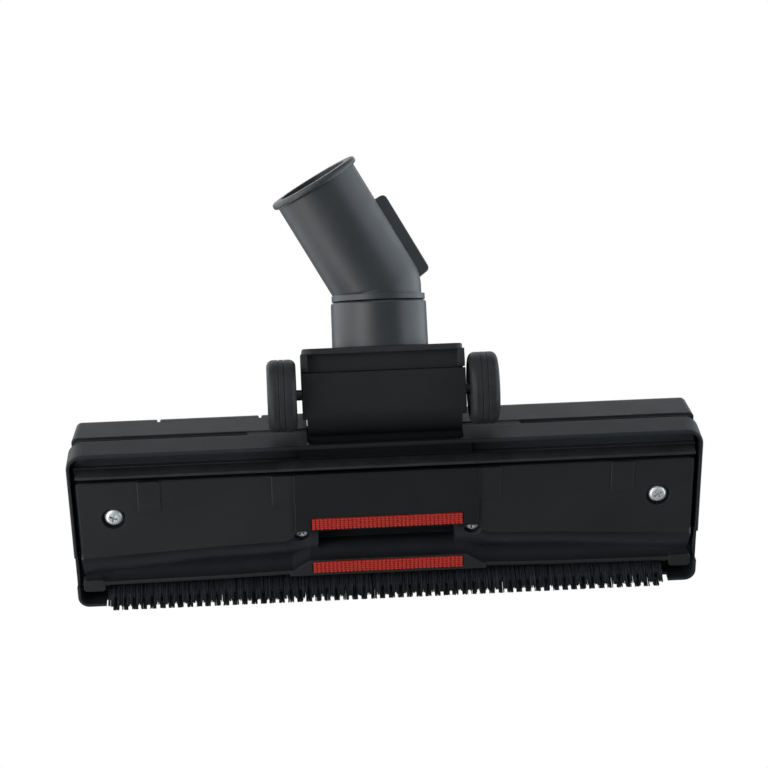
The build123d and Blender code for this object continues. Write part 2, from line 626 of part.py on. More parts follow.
with BuildPart() as neck_upper_shell:
    # drum
    with BuildSketch(side(-x_drum)):
        with Locations((y_tilt, z_tilt)):
            Circle(r_drum)
    extrude(amount=2 * x_drum)
    # body between the drum and the flange
    with BuildSketch(neck_side(36.3)):
        with BuildLine():
            Polyline((0, -14.6), (9.0, -16.4), (27.6, -16.4), (29.2, -19.4), (38.4, -19.4), (38.4, 22.6), (28.0, 21.8))
            ThreePointArc((28.0, 21.8), (20.4, 18.2), (12.0, 15.0))
            Polyline((12.0, 15.0), (0, 14.8), (0, -14.6))
        make_face()
    extrude(amount=72.6)
    # shoulders above the lower shell
    with BuildSketch(neck_side(38.5)):
        with BuildLine():
            Polyline((17.5, -9.6), (37.7, -9.6), (37.7, 19.6), (28.6, 18.8), (19.5, 12.0), (17.5, 4.0), close=True)
        make_face()
    extrude(amount=77.0)
    # end flange
    with BuildSketch(neck_at(s_flange)):
        RectangleRounded(75.6, 47.6, 5.0)
    extrude(amount=s_collar - s_flange)
    fillet(neck_upper_shell.faces().filter_by(
        lambda f: abs((f.center() - tilt_point).dot(axis_a) - s_collar) < 0.01)[0].edges(), radius=0.9)
    # snap blocks at both ends of the underside
    for sgn in (-1, 1):
        with BuildSketch(neck_side(sgn * 38.4 if sgn > 0 else -35.4)):
            with BuildLine():
                Polyline((29.4, -24.4), (31.4, -25.2), (34.6, -24.8), (38.0, -23.6), (38.0, -9.0), (29.4, -9.0), close=True)
            make_face()
        extrude(amount=3.0)
    # air way: drum, body, outlet
    with BuildSketch(side(-x_drum + 2.4)):
        with Locations((y_tilt, z_tilt)):
            Circle(r_drum - 2.2)
    extrude(amount=2 * x_drum - 4.8, mode=Mode.SUBTRACT)
    with BuildSketch(neck_side(33.2)):
        with BuildLine():
            Polyline((0, -12.4), (9.0, -14.0), (28.4, -14.2), (30.0, -17.6), (36.0, -17.8), (36.0, 20.0), (28.6, 19.4),
                     (21.4, 16.0), (12.4, 12.8), (0, 12.6), close=True)
        make_face()
    extrude(amount=66.4, mode=Mode.SUBTRACT)
    with BuildSketch(neck_at(30)):
        Circle(17.0)
    extrude(amount=14, mode=Mode.SUBTRACT)
    # window of the drum towards the duct
    with BuildSketch(side(-30)):
        with BuildLine():
            Polyline((y_tilt, z_tilt), (y_tilt + 22 * cos(radians(-72)), z_tilt + 22 * sin(radians(-72))),
                     (y_tilt + 30, z_tilt - 6), (y_tilt + 22 * cos(radians(40)), z_tilt + 22 * sin(radians(40))), close=True)
        make_face()
    extrude(amount=60, mode=Mode.SUBTRACT)
    # trunnions
    with BuildSketch(side(-x_drum - 4.6)):
        with Locations((y_tilt, z_tilt)):
            Circle(r_trunnion)
    extrude(amount=6.0)
    with BuildSketch(side(x_drum - 1.4)):
        with Locations((y_tilt, z_tilt)):
            Circle(r_trunnion)
    extrude(amount=6.0)
neck_upper_shell.part.label = "neck_upper_shell"
export_step(neck_upper_shell.part, "parts/neck_upper_shell.step")

with BuildPart() as neck_lower_shell:
    # underside plate, curving up to the drum, narrower beside the drum
    with BuildSketch(neck_side(38.5)):
        with BuildLine():
            Spline((-0.6, -17.2), (3.0, -20.6), (7.4, -23.4), (13.6, -25.2), tangents=((0.66, -0.75), (1, -0.06)))
            Polyline((13.6, -25.2), (28.3, -25.3), (28.9, -24.7), (28.9, -23.2), (13.4, -23.2))
            Spline((13.4, -23.2), (7.6, -21.2), (3.8, -18.3), (1.2, -15.9), tangents=((-1, 0.06), (-0.7, 0.7)))
            Line((1.2, -15.9), (-0.6, -17.2))
        make_face()
    extrude(amount=77.0)
    for x in (40.0, -36.3):
        with BuildSketch(neck_side(x)):
            with BuildLine():
                Polyline((-3.0, -28.0), (7.2, -28.0), (7.2, -12.0), (-3.0, -12.0), close=True)
            make_face()
        extrude(amount=3.7, mode=Mode.SUBTRACT)
    # side cheeks carrying the axle
    for x in (38.5, -36.35):
        with BuildSketch(neck_side(x)):
            with BuildLine():
                Polyline((7.2, -22.6), (13.4, -24.0), (28.9, -24.0), (28.9, -10.0), (15.4, -10.0), (9.6, -14.6), (7.2, -17.6), close=True)
            make_face()
        extrude(amount=2.15)
    with BuildSketch(neck_side(60)):
        with Locations((s_axle, n_axle)):
            Circle(r_axle + 0.04)
    extrude(amount=120, mode=Mode.SUBTRACT)
neck_lower_shell.part.label = "neck_lower_shell"
export_step(neck_lower_shell.part, "parts/neck_lower_shell.step")

with BuildPart() as wheel_axle:
    with BuildSketch(side(x_wheel_l - 4.6)):
        with Locations((y_axle, z_axle)):
            Circle(r_axle)
    extrude(amount=x_wheel_r - x_wheel_l + 9.2)
wheel_axle.part.label = "wheel_axle"
export_step(wheel_axle.part, "parts/wheel_axle.step")

# ---------------------------------------------------------------- wheels
r_hub = 12.8
with BuildPart() as wheel_hub_left:
    with BuildSketch(side(x_wheel_l - w_wheel / 2 + 0.6)):
        with Locations((y_axle, z_axle)):
            Circle(r_hub)
    extrude(amount=w_wheel - 1.2)
    with BuildSketch(side(x_wheel_l - w_wheel / 2 + 0.6)):
        with Locations((y_axle, z_axle)):
            Circle(r_hub - 2.2)
            Circle(4.4, mode=Mode.SUBTRACT)
    extrude(amount=1.6, mode=Mode.SUBTRACT)
    with BuildSketch(side(x_wheel_l - 5.0)):
        with Locations((y_axle, z_axle)):
            Circle(r_axle + 0.05)
    extrude(amount=20, mode=Mode.SUBTRACT)
wheel_hub_left.part.label = "wheel_hub_left"
export_step(wheel_hub_left.part, "parts/wheel_hub_left.step")

with BuildPart() as wheel_hub_right:
    with BuildSketch(side(x_wheel_r - w_wheel / 2 + 0.6)):
        with Locations((y_axle, z_axle)):
            Circle(r_hub)
    extrude(amount=w_wheel - 1.2)
    with BuildSketch(side(x_wheel_r + w_wheel / 2 - 2.2)):
        with Locations((y_axle, z_axle)):
            Circle(r_hub - 2.2)
            Circle(4.4, mode=Mode.SUBTRACT)
    extrude(amount=1.6, mode=Mode.SUBTRACT)
    with BuildSketch(side(x_wheel_r + 5.0)):
        with Locations((y_axle, z_axle)):
            Circle(r_axle + 0.05)
    extrude(amount=-20, mode=Mode.SUBTRACT)
wheel_hub_right.part.label = "wheel_hub_right"
export_step(wheel_hub_right.part, "parts/wheel_hub_right.step")

with BuildPart() as wheel_tyre_left:
    with BuildSketch(side(x_wheel_l - w_wheel / 2)):
        with Locations((y_axle, z_axle)):
            Circle(r_wheel)
            Circle(r_hub, mode=Mode.SUBTRACT)
    extrude(amount=w_wheel)
    fillet(wheel_tyre_left.edges().filter_by(GeomType.CIRCLE).sort_by(SortBy.RADIUS)[-2:], radius=3.2)
    # tread grooves
    for dx in (-1.6, 1.1):
        with BuildSketch(side(x_wheel_l + dx)):
            with Locations((y_axle, z_axle)):
                Circle(r_wheel + 1)
                Circle(r_wheel - 0.3, mode=Mode.SUBTRACT)
        extrude(amount=0.5, mode=Mode.SUBTRACT)
wheel_tyre_left.part.label = "wheel_tyre_left"
export_step(wheel_tyre_left.part, "parts/wheel_tyre_left.step")

with BuildPart() as wheel_tyre_right:
    with BuildSketch(side(x_wheel_r - w_wheel / 2)):
        with Locations((y_axle, z_axle)):
            Circle(r_wheel)
            Circle(r_hub, mode=Mode.SUBTRACT)
    extrude(amount=w_wheel)
    fillet(wheel_tyre_right.edges().filter_by(GeomType.CIRCLE).sort_by(SortBy.RADIUS)[-2:], radius=3.2)
    for dx in (-1.6, 1.1):
        with BuildSketch(side(x_wheel_r + dx)):
            with Locations((y_axle, z_axle)):
                Circle(r_wheel + 1)
                Circle(r_wheel - 0.3, mode=Mode.SUBTRACT)
        extrude(amount=0.5, mode=Mode.SUBTRACT)
wheel_tyre_right.part.label = "wheel_tyre_right"
export_step(wheel_tyre_right.part, "parts/wheel_tyre_right.step")

# ---------------------------------------------------------------- swivel collar
with BuildPart() as swivel_collar:
    with BuildSketch(neck_at(s_collar)):
        Circle(23.0)
    with BuildSketch(neck_at(s_seam)):
        Circle(22.8)
    loft(ruled=True)
    fillet(swivel_collar.faces().filter_by(
        lambda f: abs((f.center() - tilt_point).dot(axis_a) - s_seam) < 0.01)[0].edges(), radius=1.5)
    # bearing for the elbow's spigot, with room for the retaining ring
    with BuildSketch(neck_at(s_collar)):
        Circle(20.6)
    extrude(amount=9.8, mode=Mode.SUBTRACT)
    with BuildSketch(neck_at(s_collar)):
        Circle(18.56)
    extrude(amount=s_seam - s_collar + 1, mode=Mode.SUBTRACT)
swivel_collar.part.label = "swivel_collar"
export_step(swivel_collar.part, "parts/swivel_collar.step")

# ---------------------------------------------------------------- elbow
# parking fin on the outside of the bend
with BuildPart() as fin_form:
    with BuildSketch(fin_plane.offset(-1.6)) as fin_outline:
        with BuildLine():
            Polyline((-7.7, 14.0), (36.0, 14.0), (36.0, 26.9), (-6.5, 26.9), close=True)
        make_face()
        fillet(fin_outline.vertices().group_by(Axis.Y)[-1], radius=2.4)
    extrude(amount=3.2)
    flanks = fin_form.faces().sort_by(SortBy.AREA)[-2:]
    fillet(flanks[0].edges() + flanks[1].edges(), radius=0.6)

with BuildPart() as elbow:
    with Locations(Location(bend_point)):
        Sphere(r_tube)
    with BuildSketch(tube_at(0)):
        Circle(r_tube)
    extrude(amount=L_tube)
    add(fin_form.part)
    # square end at the swivel ring
    with BuildSketch(neck_at(s_tube)):
        Rectangle(160, 160)
    extrude(amount=-60, mode=Mode.SUBTRACT)
    with BuildSketch(neck_at(s_tube)):
        Circle(r_tube)
    extrude(amount=s_bend - s_tube)
    # mouth bead
    with BuildSketch(tube_at(L_tube - lip_len)):
        Circle(r_lip)
    extrude(amount=lip_len)
    # swivel ring and spigot
    with BuildSketch(neck_at(s_ring)):
        Circle(22.3)
    extrude(amount=s_tube - s_ring)
    with BuildSketch(neck_at(45.0)):
        Circle(18.5)
    extrude(amount=s_ring - 45.0)
    bead = elbow.edges().filter_by(GeomType.CIRCLE).filter_by(
        lambda e: abs(e.radius - r_lip) < 0.01)
    fillet(bead, radius=r_bead)
    # bore and socket
    with BuildSketch(neck_at(40.0)):
        Circle(r_bore)
    extrude(amount=s_bend - 40.0, mode=Mode.SUBTRACT)
    with Locations(Location(bend_point)):
        Sphere(r_bore, mode=Mode.SUBTRACT)
    with BuildSketch(tube_at(0)):
        Circle(r_bore)
    extrude(amount=L_tube, mode=Mode.SUBTRACT)
    with BuildSketch(tube_at(L_tube - L_socket)):
        Circle(r_socket)
    extrude(amount=L_socket + 1, mode=Mode.SUBTRACT)
    # groove for the retaining ring
    with BuildSketch(neck_at(47.0)):
        Circle(19.0)
        Circle(17.6, mode=Mode.SUBTRACT)
    extrude(amount=2.4, mode=Mode.SUBTRACT)
elbow.part.label = "elbow"
export_step(elbow.part, "parts/elbow.step")

with BuildPart() as retaining_ring:
    with BuildSketch(neck_at(47.1)):
        Circle(20.2)
        Circle(17.65, mode=Mode.SUBTRACT)
    extrude(amount=2.2)
retaining_ring.part.label = "retaining_ring"
export_step(retaining_ring.part, "parts/retaining_ring.step")

mouth = bend_point + dir_t * L_tube
print("yr", round(yr, 4), "axis a", axis_a, "dir t", dir_t)
print("mouth", mouth, "tilt", tilt_point, "socket middle", bend_point + dir_t * (L_tube - L_socket / 2))
print("axle", (0, yr + y_axle, z_axle), "s_axle", s_axle, "n_axle", n_axle)
print("pedal", (yr + y_ped, z_ped), "lever", (yr + y_lev, z_lev))
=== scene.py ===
import math
import random

import bpy
from mathutils import Matrix, Vector


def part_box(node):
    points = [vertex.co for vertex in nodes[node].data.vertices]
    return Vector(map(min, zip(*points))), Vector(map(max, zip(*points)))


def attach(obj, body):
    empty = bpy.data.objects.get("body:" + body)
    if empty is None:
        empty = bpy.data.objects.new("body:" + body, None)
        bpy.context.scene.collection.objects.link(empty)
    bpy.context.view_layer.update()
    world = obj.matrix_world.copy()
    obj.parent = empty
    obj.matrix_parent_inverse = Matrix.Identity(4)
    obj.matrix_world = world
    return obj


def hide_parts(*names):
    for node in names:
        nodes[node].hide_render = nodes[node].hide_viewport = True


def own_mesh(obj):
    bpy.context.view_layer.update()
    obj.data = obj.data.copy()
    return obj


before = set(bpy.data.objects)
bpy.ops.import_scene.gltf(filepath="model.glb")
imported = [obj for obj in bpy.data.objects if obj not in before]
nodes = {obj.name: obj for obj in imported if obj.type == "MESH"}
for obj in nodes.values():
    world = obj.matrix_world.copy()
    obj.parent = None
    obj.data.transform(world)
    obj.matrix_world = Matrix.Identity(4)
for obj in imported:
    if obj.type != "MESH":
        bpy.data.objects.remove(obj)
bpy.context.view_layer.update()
scene = bpy.context.scene
MM = 0.001
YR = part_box("top_cover")[0][1] * 1000     # rear wall of the head in the part's frame, mm


# ------------------------------------------------------------------ node helpers
def new_material(name):
    m = bpy.data.materials.new(name)
    m.use_nodes = True
    nt = m.node_tree
    nt.nodes.clear()
    out = nt.nodes.new("ShaderNodeOutputMaterial")
    bsdf = nt.nodes.new("ShaderNodeBsdfPrincipled")
    nt.links.new(bsdf.outputs["BSDF"], out.inputs["Surface"])
    return m, nt, bsdf


def object_coords(nt, scale=(1, 1, 1)):
    tc = nt.nodes.new("ShaderNodeTexCoord")
    mp = nt.nodes.new("ShaderNodeMapping")
    mp.inputs["Scale"].default_value = scale
    nt.links.new(tc.outputs["Object"], mp.inputs["Vector"])
    return mp.outputs["Vector"]


def noise(nt, vec, scale, detail=3.0, rough=0.55):
    n = nt.nodes.new("ShaderNodeTexNoise")
    n.inputs["Scale"].default_value = scale
    n.inputs["Detail"].default_value = detail
    n.inputs["Roughness"].default_value = rough
    nt.links.new(vec, n.inputs["Vector"])
    return n.outputs["Fac"]


def remap(nt, value, a, b, lo, hi):
    n = nt.nodes.new("ShaderNodeMapRange")
    n.inputs["From Min"].default_value = a
    n.inputs["From Max"].default_value = b
    n.inputs["To Min"].default_value = lo
    n.inputs["To Max"].default_value = hi
    nt.links.new(value, n.inputs["Value"])
    return n.outputs["Result"]


def mix_colour(nt, fac, a, b):
    n = nt.nodes.new("ShaderNodeMix")
    n.data_type = "RGBA"
    nt.links.new(fac, n.inputs["Factor"])
    for sock, v in (("A", a), ("B", b)):
        s = [i for i in n.inputs if i.name == sock and i.type == "RGBA"][0]
        if isinstance(v, (tuple, list)):
            s.default_value = (*v, 1.0)
        else:
            nt.links.new(v, s)
    return [o for o in n.outputs if o.type == "RGBA"][0]


def math_node(nt, op, a, b=None):
    n = nt.nodes.new("ShaderNodeMath")
    n.operation = op
    for i, v in enumerate((a, b)):
        if v is None:
            continue
        if isinstance(v, (int, float)):
            n.inputs[i].default_value = v
        else:
            nt.links.new(v, n.inputs[i])
    return n.outputs[0]


def edge_mask(nt, radius):
    """1 near hard edges, 0 on the open surface; also returns the rounded normal."""
    bev = nt.nodes.new("ShaderNodeBevel")
    bev.samples = 6
    bev.inputs["Radius"].default_value = radius
    geo = nt.nodes.new("ShaderNodeNewGeometry")
    dot = nt.nodes.new("ShaderNodeVectorMath")
    dot.operation = "DOT_PRODUCT"
    nt.links.new(bev.outputs["Normal"], dot.inputs[0])
    nt.links.new(geo.outputs["Normal"], dot.inputs[1])
    mask = remap(nt, dot.outputs["Value"], 0.99, 0.80, 0.0, 1.0)
    return mask, bev.outputs["Normal"]


def bump(nt, height, strength, distance, normal=None):
    b = nt.nodes.new("ShaderNodeBump")
    b.inputs["Strength"].default_value = strength
    b.inputs["Distance"].default_value = distance
    nt.links.new(height, b.inputs["Height"])
    if normal is not None:
        nt.links.new(normal, b.inputs["Normal"])
    return b.outputs["Normal"]


def height_mask(nt, vec, low, high):
    """0 below the height low, 1 above the height high, in metres of the part's frame."""
    sep = nt.nodes.new("ShaderNodeSeparateXYZ")
    nt.links.new(vec, sep.inputs[0])
    return remap(nt, sep.outputs["Z"], low, high, 0.0, 1.0)


def patch_mask(nt, vec, half, y0, y1, soft, wide):
    """1 within half of the middle plane and between the depths y0 and y1, 0 outside."""
    sep = nt.nodes.new("ShaderNodeSeparateXYZ")
    nt.links.new(vec, sep.inputs[0])
    across = remap(nt, math_node(nt, "ABSOLUTE", sep.outputs["X"]), half, half + wide, 1.0, 0.0)
    rear = remap(nt, sep.outputs["Y"], y0 - soft, y0, 0.0, 1.0)
    front = remap(nt, sep.outputs["Y"], y1, y1 + soft, 1.0, 0.0)
    return math_node(nt, "MULTIPLY", across, math_node(nt, "MULTIPLY", rear, front))


def plastic(name, dark, light, worn_and_highlight, rough=(0.36, 0.48), grain=4200.0, grain_depth=0.00003,
            edge=0.0005, spec=0.5, streak=None, painted_recess_light=None, shade_band=None, painted_shade=(), shade_fade=None):
    """Moulded plastic: flow marks, fine spark grain, softened and slightly polished edges, painted lighter partly as
    wear and partly as a painted edge highlight.

    dusty = (low, high, colour, top): painted fill light, a lighter colour painted in the recesses above a height, up
    to top.
    band = (low, high, spec below): less specular reflection below a height, a painted shade on the lower part.
    dull = rows of (half, y0, y1, soft, keep, wide): painted shadow patches, darker and less glossy, that keep a part
    of the tone and gloss, blended over soft in depth and over wide across.
    under = (low, high): the painted shadow patches fade out between these heights."""
    m, nt, bsdf = new_material(name)
    vec = object_coords(nt)
    blotch = noise(nt, vec, 26.0, 4.0, 0.6)
    tone = mix_colour(nt, remap(nt, blotch, 0.32, 0.68, 0, 1), dark, light)
    # painted fill light: recesses above a height are painted a lighter colour
    if painted_recess_light:
        painted_light_veil = math_node(nt, "MULTIPLY", height_mask(nt, vec, painted_recess_light[0], painted_recess_light[1]),
                         remap(nt, noise(nt, vec, 70.0, 4.0, 0.6), 0.3, 0.7, 0.75, 1.0))
        painted_light_veil = math_node(nt, "MULTIPLY", painted_light_veil, remap(nt, height_mask(nt, vec, painted_recess_light[3], painted_recess_light[3] + 0.003), 0, 1, 1.0, 0.0))
        tone = mix_colour(nt, painted_light_veil, tone, painted_recess_light[2])
    speck = noise(nt, vec, 1500.0, 2.0, 0.6)
    tone = mix_colour(nt, remap(nt, speck, 0.62, 0.80, 0, 0.35), tone, worn_and_highlight)
    mask, rounded = edge_mask(nt, edge)
    # edges painted lighter: partly rubbed wear, partly a painted edge highlight
    rub = noise(nt, vec, 180.0, 3.0, 0.6)
    edge_wear_highlight = math_node(nt, "MULTIPLY", mask, remap(nt, rub, 0.40, 0.62, 0.15, 0.9))
    tone = mix_colour(nt, edge_wear_highlight, tone, worn_and_highlight)
    # painted shade: patches painted darker and less glossy where shade falls
    shade_amount = None
    for half, y0, y1, soft, keep, wide in painted_shade:
        part = math_node(nt, "MULTIPLY", patch_mask(nt, vec, half, y0, y1, soft, wide), 1.0 - keep)
        shade_amount = part if shade_amount is None else math_node(nt, "MAXIMUM", shade_amount, part)
    if shade_fade:
        shade_amount = math_node(nt, "MULTIPLY", shade_amount, remap(nt, height_mask(nt, vec, *shade_fade), 0, 1, 1.0, 0.0))
    if shade_amount is not None:
        tone = mix_colour(nt, shade_amount, tone, (0.0015, 0.0015, 0.0016))
        gloss = math_node(nt, "MULTIPLY", math_node(nt, "SUBTRACT", 1.0, shade_amount), spec)
        nt.links.new(gloss, bsdf.inputs["Specular IOR Level"])
    nt.links.new(tone, bsdf.inputs["Base Color"])
    r1 = remap(nt, noise(nt, vec, 60.0, 4.0, 0.6), 0.3, 0.7, rough[0], rough[1])
    r2 = math_node(nt, "SUBTRACT", r1, math_node(nt, "MULTIPLY", edge_wear_highlight, 0.08))
    nt.links.new(r2, bsdf.inputs["Roughness"])
    bsdf.inputs["Specular IOR Level"].default_value = spec
    # painted shade: less specular reflection below a height
    if shade_band:
        gloss = remap(nt, height_mask(nt, vec, shade_band[0], shade_band[1]), 0.0, 1.0, shade_band[2], spec)
        nt.links.new(gloss, bsdf.inputs["Specular IOR Level"])
    fine = noise(nt, vec, grain, 2.0, 0.5)
    n1 = bump(nt, fine, 0.45, grain_depth, rounded)
    if streak:
        wide = noise(nt, object_coords(nt, streak), 1.0, 3.0, 0.5)
        n1 = bump(nt, wide, 0.25, 0.00012, n1)
    nt.links.new(n1, bsdf.inputs["Normal"])
    return m


def rubber(name, dark, light, rough=(0.5, 0.65), rings=None, spec=0.4):
    """Soft rubber with a dusty bloom and edges painted lighter as a painted edge highlight; rings adds fine lines
    square to X.
    """
    m, nt, bsdf = new_material(name)
    vec = object_coords(nt)
    tone = mix_colour(nt, remap(nt, noise(nt, vec, 90.0, 4.0, 0.6), 0.35, 0.7, 0, 1), dark, light)
    mask, rounded = edge_mask(nt, 0.0004)
    # painted edge highlight: edges painted lighter
    tone = mix_colour(nt, math_node(nt, "MULTIPLY", mask, 0.35), tone, tuple(min(1, c * 1.8) for c in light))
    nt.links.new(tone, bsdf.inputs["Base Color"])
    nt.links.new(remap(nt, noise(nt, vec, 240.0, 3.0, 0.6), 0.3, 0.7, *rough), bsdf.inputs["Roughness"])
    n1 = bump(nt, noise(nt, vec, 2600.0, 2.0, 0.5), 0.4, 0.00004, rounded)
    if rings:
        w = nt.nodes.new("ShaderNodeTexWave")
        w.wave_type = "BANDS"
        w.bands_direction = "X"
        w.wave_profile = "SIN"
        w.inputs["Scale"].default_value = rings
        w.inputs["Distortion"].default_value = 0.0
        nt.links.new(vec, w.inputs["Vector"])
        n1 = bump(nt, w.outputs["Fac"], 0.35, 0.00012, n1)
    nt.links.new(n1, bsdf.inputs["Normal"])
    bsdf.inputs["Specular IOR Level"].default_value = spec
    return m


def metal(name, base, tint, rough=(0.22, 0.4), scale=(900, 900, 60)):
    """Plated or drawn steel with fine working marks and a faint cloud."""
    m, nt, bsdf = new_material(name)
    vec = object_coords(nt)
    tone = mix_colour(nt, remap(nt, noise(nt, vec, 300.0, 3.0, 0.6), 0.3, 0.7, 0, 1), base, tint)
    nt.links.new(tone, bsdf.inputs["Base Color"])
    bsdf.inputs["Metallic"].default_value = 1.0
    marks = noise(nt, object_coords(nt, scale), 2.0, 3.0, 0.6)
    nt.links.new(remap(nt, marks, 0.3, 0.7, *rough), bsdf.inputs["Roughness"])
    mask, rounded = edge_mask(nt, 0.00025)
    nt.links.new(bump(nt, marks, 0.2, 0.00003, rounded), bsdf.inputs["Normal"])
    return m


# ------------------------------------------------------------------ materials
# cover: painted shade, less specular below 16.5-20 mm, and a painted shadow patch low on the middle of the rear wall
cover_mat = plastic("cover_plastic", (0.0130, 0.0142, 0.0156), (0.0168, 0.0182, 0.0200), (0.044, 0.046, 0.049),
                    rough=(0.40, 0.50), spec=0.40, streak=(14, 90, 90), shade_band=(0.0165, 0.0200, 0.20),
                    painted_shade=((0.0420, (YR - 3) * MM, (YR + 4) * MM, 0.0020, 0.35, 0.020),), shade_fade=(0.0150, 0.0185))
# sole: painted fill light in the recesses, painted shade in the rear trough and on the middle block
sole_mat = plastic("sole_plastic", (0.0078, 0.0083, 0.0090), (0.0105, 0.0111, 0.0120), (0.035, 0.036, 0.039),
                   rough=(0.44, 0.56), spec=0.27, streak=(10, 60, 60), painted_recess_light=(0.0052, 0.0125, (0.036, 0.039, 0.044), 0.0190),
                   painted_shade=((0.0406, (YR + 1) * MM, (YR + 15.4) * MM, 0.0002, 0.30, 0.030),
                         (0.0440, (YR + 15.5) * MM, (YR + 47.4) * MM, 0.0030, 0.72, 0.003)))
pedal_mat = plastic("pedal_plastic", (0.0130, 0.0142, 0.0156), (0.0168, 0.0182, 0.0200), (0.044, 0.046, 0.049),
                    rough=(0.38, 0.48), spec=0.42)
# neck: painted shade on its lower part near the head
neck_mat = plastic("neck_plastic", (0.013, 0.0136, 0.0148), (0.0170, 0.0178, 0.0192), (0.042, 0.043, 0.046),
                   rough=(0.42, 0.54), spec=0.22, streak=(60, 20, 20),
                   painted_shade=((0.0600, (YR - 14) * MM, (YR + 22) * MM, 0.0060, 0.25, 0.014),), shade_fade=(0.0190, 0.0250))
# lower shell: painted shade near the drum
shell_mat = plastic("lower_shell_plastic", (0.0085, 0.009, 0.0100), (0.0110, 0.0117, 0.0128), (0.034, 0.035, 0.038),
                    rough=(0.48, 0.60), spec=0.17, streak=(60, 20, 20),
                    painted_shade=((0.0600, (YR - 1) * MM, (YR + 20) * MM, 0.0140, 0.08, 0.014),))
collar_mat = plastic("collar_plastic", (0.013, 0.0137, 0.0148), (0.0168, 0.0176, 0.0190), (0.045, 0.046, 0.05),
                     rough=(0.34, 0.43), grain_depth=0.00002)
elbow_mat = plastic("elbow_plastic", (0.012, 0.0135, 0.0150), (0.0158, 0.0174, 0.0192), (0.044, 0.046, 0.05),
                    rough=(0.40, 0.50), spec=0.58, grain_depth=0.00002)
inner_mat = plastic("inner_plastic", (0.012, 0.0124, 0.0135), (0.016, 0.0166, 0.0178), (0.04, 0.04, 0.043),
                    rough=(0.45, 0.58))
# both rubbers carry the painted edge highlight
lip_mat = rubber("lip_rubber", (0.012, 0.0122, 0.013), (0.020, 0.0205, 0.022), rough=(0.45, 0.58), spec=0.26)
tyre_mat = rubber("wheel_rubber", (0.012, 0.0124, 0.0132), (0.0195, 0.0200, 0.0212), rough=(0.42, 0.56), rings=150.0, spec=0.23)
zinc_mat = metal("zinc_steel", (0.74, 0.74, 0.73), (0.62, 0.63, 0.64), rough=(0.40, 0.56))
pin_mat = metal("pin_steel", (0.40, 0.40, 0.41), (0.30, 0.30, 0.31), scale=(60, 900, 900))
axle_mat = metal("axle_steel", (0.060, 0.060, 0.064), (0.040, 0.040, 0.043), rough=(0.32, 0.5), scale=(60, 900, 900))
spring_mat = metal("spring_steel", (0.42, 0.42, 0.43), (0.30, 0.30, 0.31), scale=(600, 600, 600))

LOOKS = {
    "top_cover": cover_mat, "sole_plate": sole_mat, "foot_pedal": pedal_mat,
    "rear_rubber_lip": lip_mat, "end_screws": zinc_mat, "inner_screws": zinc_mat,
    "brush_bar": inner_mat, "pedal_pin": pin_mat, "lift_lever": inner_mat, "lever_pin": pin_mat,
    "return_spring_left": spring_mat, "return_spring_right": spring_mat,
    "neck_upper_shell": neck_mat, "neck_lower_shell": shell_mat, "wheel_axle": axle_mat,
    "wheel_hub_left": inner_mat, "wheel_hub_right": inner_mat,
    "wheel_tyre_left": tyre_mat, "wheel_tyre_right": tyre_mat,
    "swivel_collar": collar_mat, "elbow": elbow_mat, "retaining_ring": inner_mat,
}
for name, mat in LOOKS.items():
    ob = nodes[name]
    ob.data.materials.clear()
    ob.data.materials.append(mat)


# ------------------------------------------------------------------ bristles
def bristle_mat():
    m, nt, bsdf = new_material("bristle_nylon")
    vec = object_coords(nt)
    tone = mix_colour(nt, remap(nt, noise(nt, vec, 700.0, 2.0, 0.5), 0.3, 0.7, 0, 1),
                      (0.0065, 0.0071, 0.0086), (0.0125, 0.0136, 0.0160))
    # painted fill light: filaments painted lighter towards their roots, which lie in shade
    tone = mix_colour(nt, height_mask(nt, vec, 0.0015, 0.0115), tone, (0.036, 0.039, 0.046))
    nt.links.new(tone, bsdf.inputs["Base Color"])
    bsdf.inputs["Specular IOR Level"].default_value = 0.28
    nt.links.new(remap(nt, noise(nt, vec, 1800.0, 2.0, 0.5), 0.3, 0.7, 0.45, 0.62), bsdf.inputs["Roughness"])
    nt.links.new(bump(nt, noise(nt, object_coords(nt, (4000, 4000, 300)), 1.0, 2.0, 0.5), 0.3, 0.00003),
                 bsdf.inputs["Normal"])
    return m


